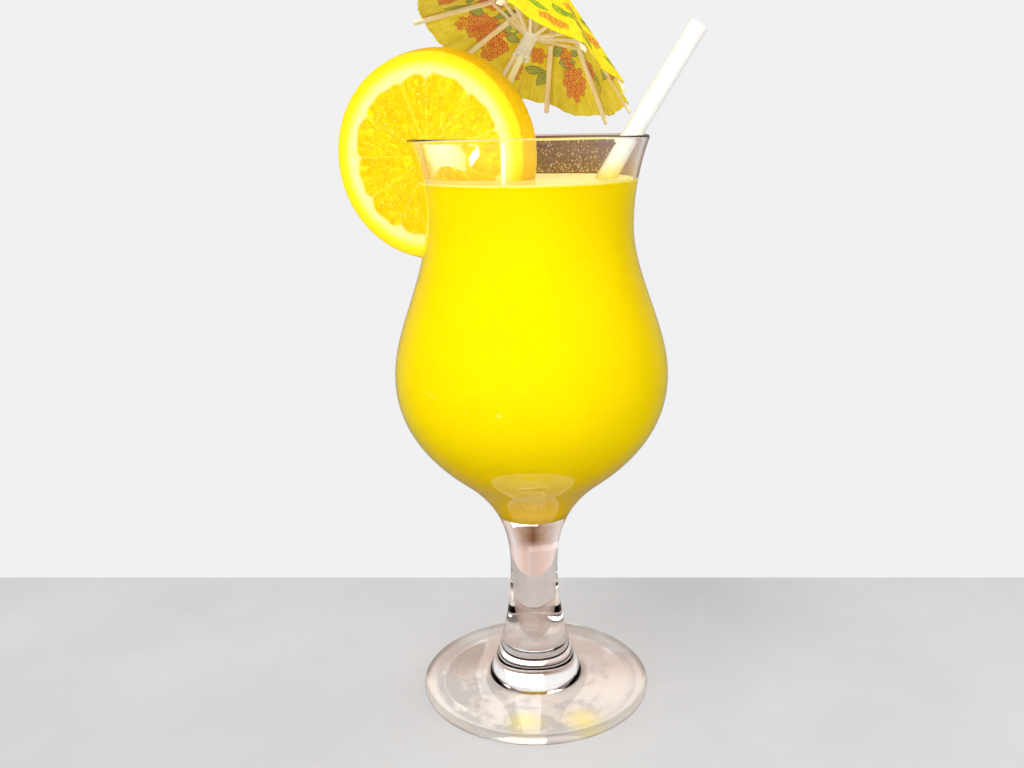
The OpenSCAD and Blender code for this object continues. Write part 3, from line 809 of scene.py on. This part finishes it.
def inkMesh(name, side):
    # every printed shape laid on the paper, a little above it; side is 1 on the top and -1 on the underside
    points, quads, tones, start = [], [], [], 0
    for turn, q, slot, up in blossomShapes() + leafShapes():
        count, rows, cols = turn.shape
        q = np.clip(q, 3, slant - 0.9)
        lift = (umbrella["paper"] + inkPrint["lift"] + up) if side > 0 else -(inkPrint["lift"] + up)
        points.append(paperPoint(turn, q, lift).reshape(-1, 3))
        cells = (np.arange(count) * rows * cols)[:, None, None] + gridQuads(rows, cols)[None]
        quads.append(cells.reshape(-1, 4) + start)
        tones.append(np.full(count * (cols - 1) * (rows - 1), slot))
        start += count * rows * cols
    points, quads, tones = np.concatenate(points), np.concatenate(quads), np.concatenate(tones)
    if side > 0:
        quads = quads[:, ::-1]
    return meshPiece(name, inUmbrella(points), quads, tones)


def inkFinish(name, tint, worn):
    # ink with worn spots where the paper's fibres show
    f = Finish(name, Roughness=0.55, IOR=1.45, Specular_IOR_Level=0.25)
    spots = f.noise(f.place(), 1400.0, 3.0, 0.6)
    f.base(f.mix(f.band(spots, 0.4, 0.7, (0.0, 0.75)), colour(*tint), colour(*worn)))
    return f


topInks = [
    inkFinish("redInk", (222, 92, 20), (240, 134, 24)),
    inkFinish("blossomInk", (255, 196, 40), (255, 216, 30)),
    inkFinish("leafInk", (150, 186, 30), (206, 214, 20)),
    inkFinish("leafLineInk", (84, 124, 40), (132, 156, 40)),
]
underInks = [
    inkFinish("redInkUnder", (214, 96, 40), (228, 128, 56)),
    inkFinish("blossomInkUnder", (236, 164, 84), (232, 178, 92)),
    inkFinish("leafInkUnder", (168, 176, 92), (188, 184, 92)),
    inkFinish("leafLineInkUnder", (116, 128, 84), (150, 150, 84)),
]
dress(inkMesh("printOnTop", 1), finishes=topInks)
dress(inkMesh("printUnderneath", -1), finishes=underInks)
print("print made")


# slider: a rolled card runner whose lower edge is cut into ragged tongues

slider = {
    "radius": 2.0, "bore": 1.1, "low": -1.0, "high": 7.4, "tongues": 11, "notch": 2.4, "flare": 0.7,
    "collar": 0.35, "card": 0.45,
}


def sliderSurface():
    # section from the ragged lower edge up the outside, over the collar and down the bore, carried round the
    # stick; the lower rows rise in narrow notches and spread outward
    a = np.linspace(0, 2 * np.pi, 221)
    a[-1] = 0
    notch = np.abs(np.cos(a * slider["tongues"] / 2 + 0.4 * np.sin(3 * a))) ** 10
    rag = 0.35 * np.sin(a * 7 + 1) + 0.25 * np.sin(a * 17)
    edge = slider["low"] + 0.4 * rag + slider["notch"] * notch
    t = np.linspace(0, 1, 26)[:, None]
    z = edge + (slider["high"] - edge) * t
    swell = slider["flare"] * np.exp(-((z - slider["low"]) / 1.6) ** 2 * 0.5)
    swell += slider["collar"] * np.exp(-((z - slider["high"] + 0.8) / 0.55) ** 2)
    outer = slider["radius"] + swell + 0.03 * np.sin(5 * a)
    inner = np.maximum(outer - slider["card"], slider["bore"])
    up = np.stack([outer * np.cos(a), outer * np.sin(a), z], -1)
    lid = np.stack([slider["bore"] * np.cos(a), slider["bore"] * np.sin(a), z[-1] + 0 * a], -1)[None]
    down = np.stack([inner * np.cos(a), inner * np.sin(a), z], -1)[-4::-1]
    return np.concatenate([up, lid, down, up[:1]])


def cardFinish():
    # white card with a fine tooth
    f = Finish("whiteCard", Roughness=0.7, IOR=1.45, Subsurface_Weight=0.2, Subsurface_Scale=0.8 * mm)
    fine = f.noise(f.place(), 1500.0, 4.0, 0.7)
    f.base(f.mix(f.band(fine, 0.35, 0.7), colour(255, 255, 250), colour(250, 244, 230)))
    f.bump(fine, 0.4, 0.1)
    return f


whiteCard = cardFinish()
sliderCard = makePiece("sliderCard", inUmbrella(sliderSurface()))
dress(sliderCard, replaced=["umbrella_slider"], finishes=[whiteCard])
print("slider made")


# wood, on the shown nodes of the umbrella

def woodFinish(name, pale, warm, line, onRibs):
    # cloudy pale wood with fine lines, which run out from the stick on the ribs, and along it on the stick
    f = Finish(name, Roughness=0.55, IOR=1.45, Subsurface_Weight=0.1, Subsurface_Scale=0.5 * mm)
    own = f.node("Mapping", {
        "Vector": f.place(), "Location": tuple(umbrellaPlace * mm),
        "Rotation": tuple(np.radians([0, umbrella["lean"], umbrella["turn"]])),
    }, vector_type="TEXTURE").outputs[0]
    x, y, z = f.split(own)
    if onRibs:
        bearing = f.math("ARCTAN2", y, x)
        lines = f.join(f.times(bearing, 34.0), f.times(f.length(own), 120.0), f.times(z, 120.0))
    else:
        lines = f.join(f.times(x, 2200.0), f.times(y, 2200.0), f.times(z, 90.0))
    grain = f.noise(lines, 1.0, 4.0, 0.6)
    cloud = f.band(f.noise(f.place(), 160.0, 2.0), 0.35, 0.65)
    tone = f.mix(cloud, colour(*pale), colour(*warm))
    f.base(f.mix(f.band(grain, 0.5, 0.72, (0.0, 0.65)), tone, colour(*line)))
    f.bump(grain, 0.4, 0.08)
    return f


ribWood = woodFinish("ribWood", (255, 244, 216), (255, 232, 186), (244, 204, 150), True)
stickWood = woodFinish("stickWood", (255, 252, 214), (255, 247, 190), (246, 222, 150), False)
nodeFinishes = {"umbrella_stick": stickWood, "umbrella_hub": whiteCard, "umbrella_cap": whiteCard}
for name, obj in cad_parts.items():
    finish = ribWood if name.startswith(("umbrella_rib", "umbrella_strut")) else nodeFinishes.get(name)
    if finish:
        obj.data.materials.clear()
        obj.data.materials.append(finish.material)
print("umbrella dressed")


# dew: fine drops and bubbles on the inner wall above the juice

dew = {  # radii, the height of a drop as a share of its radius, and the bearings between which the drops lie
    "count": 1100, "small": 0.08, "large": 0.28, "dome": 0.62, "sunk": 0.08, "from": 15.0, "to": 118.0,
    "seed": 8, "rings": 4, "sides": 11,
}


def makeDew():
    # each drop is a low dome on the wall: rings of points about its middle, taken along the wall and inward
    draw = np.random.default_rng(dew["seed"])
    n = dew["count"]
    turn = np.radians(draw.uniform(dew["from"], dew["to"], n))
    top = glass["height"] - 2.5
    z = juice["level"] + 0.8 + (top - juice["level"] - 1.5) * draw.uniform(0, 1, n) ** 1.6
    size = dew["small"] + (dew["large"] - dew["small"]) * draw.uniform(0, 1, n) ** 3
    r = innerRadius(z, 0)
    tilt = np.arctan(innerRadius(z + 1, 0) - r)
    a = np.linspace(0, 2 * np.pi, dew["sides"])
    a[-1] = 0
    b = np.radians(np.linspace(90, 6, dew["rings"]))[:, None]
    x, y, h = np.cos(b) * np.cos(a), np.cos(b) * np.sin(a), dew["dome"] * np.sin(b) + 0 * a - dew["sunk"]
    size = size[:, None, None]
    inward = np.stack([-np.cos(turn) * np.cos(tilt), -np.sin(turn) * np.cos(tilt), np.sin(tilt)], -1)
    along = np.stack([-np.sin(turn), np.cos(turn), 0 * turn], -1)
    inward, along = inward[:, None, None], along[:, None, None]
    upward = np.cross(along, inward)
    middle = np.stack([r * np.cos(turn), r * np.sin(turn), z], -1)[:, None, None]
    points = middle + (size * x)[..., None] * along + (size * y)[..., None] * upward
    points = points + (size * h)[..., None] * inward
    starts = np.arange(n) * dew["rings"] * dew["sides"]
    quads = starts[:, None, None] + gridQuads(dew["rings"], dew["sides"])[None]
    return meshPiece("dewDrops", points.reshape(-1, 3), quads.reshape(-1, 4))


def dewFinish():
    # drops of thin juice, some paler
    f = Finish("dewDrops", Roughness=0.15, IOR=1.34, Transmission_Weight=0.2)
    paler = f.band(f.noise(f.place(), 500.0), 0.4, 0.65)
    f.base(f.mix(paler, colour(255, 240, 170), colour(240, 200, 96)))
    return f


dress(makeDew(), finishes=[dewFinish()])
print("dew made")


# stage, lamps and air

stage = {  # glow: the middles of the two painted yellow caustic glows under the foot, as light through the juice would cast
    "front": -1500.0, "backLeft": (-1500.0, 149.4), "backRight": (1500.0, 12.3), "tone": (196, 196, 198),
    "cloud": (204, 204, 206), "paintedCausticTone": (0.86, 0.85, 0.835, 1), "glow": [(-4, -27), (14, -26)],
    "glowSize": 9.0, "glowTone": (248, 232, 120),
}


def makeFloor():
    # a plain pale table that ends behind the glass; under the foot, painted caustics: soft patches and a ring
    # of painted light, mostly in front, and two painted yellow glows as the juice would colour the light
    (x0, y0), (x1, y1) = stage["backLeft"], stage["backRight"]
    corners = [[(x0, stage["front"], 0), (x1, stage["front"], 0)], [(x0, y0, 0), (x1, y1, 0)]]
    obj = makePiece("floor", np.array(corners, float))
    f = Finish("paleFloor", Roughness=0.55, Specular_IOR_Level=0.15)
    where = f.place()
    cloud = f.noise(where, 9.0, 5.0, 0.6)
    tone = f.mix(f.band(cloud, 0.35, 0.7), colour(*stage["tone"]), colour(*stage["cloud"]))
    reach = f.length(where)
    # painted caustics: pale patches near the foot and a ring at its edge, mostly in front
    near = f.band(reach, 0.031, 0.036, (1.0, 0.0))
    ring = f.times(f.band(reach, 0.0325, 0.0342), f.band(reach, 0.0358, 0.037, (1.0, 0.0)))
    front = f.band(f.split(where)[1], -0.004, 0.016, (1.0, 0.15))
    paintedCausticPatches = f.times(f.band(f.noise(where, 50.0, 5.0, 0.65), 0.44, 0.54), near)
    tone = f.mix(f.times(f.math("MAXIMUM", paintedCausticPatches, ring), front), tone, stage["paintedCausticTone"])
    # two painted yellow caustic glows, light coloured by the juice
    for x, y in stage["glow"]:
        off = f.node("VectorMath", {0: where, 1: (x * mm, y * mm, 0)}, operation="SUBTRACT").outputs[0]
        glow = f.band(f.length(off), 0.0, stage["glowSize"] * mm, (0.8, 0.0))
        tone = f.mix(glow, tone, colour(*stage["glowTone"]))
    f.base(tone)
    obj.data.materials.append(f.material)
    obj.visible_glossy = False


roomTones = [  # what clear glass bends into view at the height of the eye, from the left round by the front
    (0.00, (0.90, 0.84, 0.82)), (0.09, (0.45, 0.34, 0.31)), (0.25, (0.20, 0.15, 0.14)),
    (0.40, (0.36, 0.28, 0.26)), (0.48, (1.00, 0.95, 0.92)), (0.56, (0.50, 0.36, 0.33)),
    (0.64, (1.00, 0.96, 0.95)), (0.705, (0.50, 0.34, 0.26)), (0.745, (0.20, 0.085, 0.035)),
    (0.78, (0.50, 0.34, 0.26)), (0.88, (1.00, 0.96, 0.95)), (1.00, (0.90, 0.84, 0.82)),
]


def makeAir():
    # what is seen behind is even and pale, and the soft light is even and white; clear glass bends a room
    # into view, warm and dim at the height of the eye with bright windows, and white overhead towards the
    # back; gloss sees almost nothing, so that colours under the glass stay clear
    world = bpy.data.worlds.new("air")
    scene.world = world
    world.use_nodes = True
    air = Nodes(world.node_tree)
    x, y, z = air.split(air.node("TexCoord").outputs["Generated"])
    turn = air.plus(air.times(air.math("ARCTAN2", y, x), 1 / (2 * np.pi)), 0.5)
    level = air.ramp(turn, [(place, tone + (1,)) for place, tone in roomTones])
    above = air.mix(air.band(y, -0.3, 0.4), (0.22, 0.2, 0.19, 1), (1.0, 0.98, 0.97, 1))
    below = air.mix(0.7, level, (1.0, 0.82, 0.76, 1))
    room = air.mix(air.band(z, 0.12, 0.5), air.mix(air.band(z, -0.3, -0.12), below, level), above)
    gloss = air.mix(air.band(y, 0.3, 0.95), (0.02, 0.015, 0.012, 1), (0.3, 0.26, 0.22, 1))
    rays = air.node("LightPath").outputs

    def light(tone, strength=1.0):
        return air.node("Background", {0: tone, 1: strength}).outputs[0]

    def choose(kind, other, this):
        return air.node("MixShader", {0: rays[kind], 1: other, 2: this}).outputs[0]

    lit = choose("Is Transmission Ray", light(gloss), light(room))
    lit = choose("Is Diffuse Ray", lit, light((1, 1, 1, 1), 0.74))
    air.node("OutputWorld", {0: choose("Is Camera Ray", lit, light((0.875, 0.875, 0.885, 1)))})


def makeLamp(name, place, target, size, power, card=0, roll=0):
    # a soft lamp that isn't mirrored, or with card, its spread in degrees, one that shows only as a highlight
    data = bpy.data.lights.new(name, "AREA")
    data.shape, data.size, data.size_y, data.energy = "RECTANGLE", size[0] * mm, size[1] * mm, power
    if card:
        data.spread = np.radians(card)
    obj = bpy.data.objects.new(name, data)
    scene.collection.objects.link(obj)
    place, target = np.array(place, float), np.array(target, float)
    back = place - target
    back /= np.linalg.norm(back)
    side = np.cross((0, 0, 1), back)
    side /= np.linalg.norm(side)
    side = np.cos(np.radians(roll)) * side + np.sin(np.radians(roll)) * np.cross(back, side)
    turn = Matrix(np.column_stack([side, np.cross(back, side), back]).tolist()).to_4x4()
    obj.matrix_world = Matrix.Translation(place * mm) @ turn
    obj.visible_camera = False
    obj.visible_glossy, obj.visible_diffuse = bool(card), not card


makeFloor()
makeAir()
makeLamp("keyLamp", (-900, -1100, 1500), (0, 0, 110), (900, 900), 16.0)
makeLamp("fillLamp", (1200, -900, 900), (0, 0, 120), (800, 800), 6.8)
makeLamp("lowLamp", (-160, -700, 60), (0, 0, 100), (500, 300), 1.75)
makeLamp("backLamp", (300, 1300, 700), (0, 0, 110), (900, 900), 7.0)
makeLamp("frontCard", (-84, -180, 68), (-7, -33, 172), (12, 46), 0.0005, card=28)
makeLamp("leftCard", (-222, 0, 85), (-24, -23, 284), (208, 20), 0.018, card=72, roll=-15)
makeLamp("smallCard", (-190, -137, 53), (-15, -31, 176), (45, 10), 0.0006, card=28, roll=-25)
print("stage made")
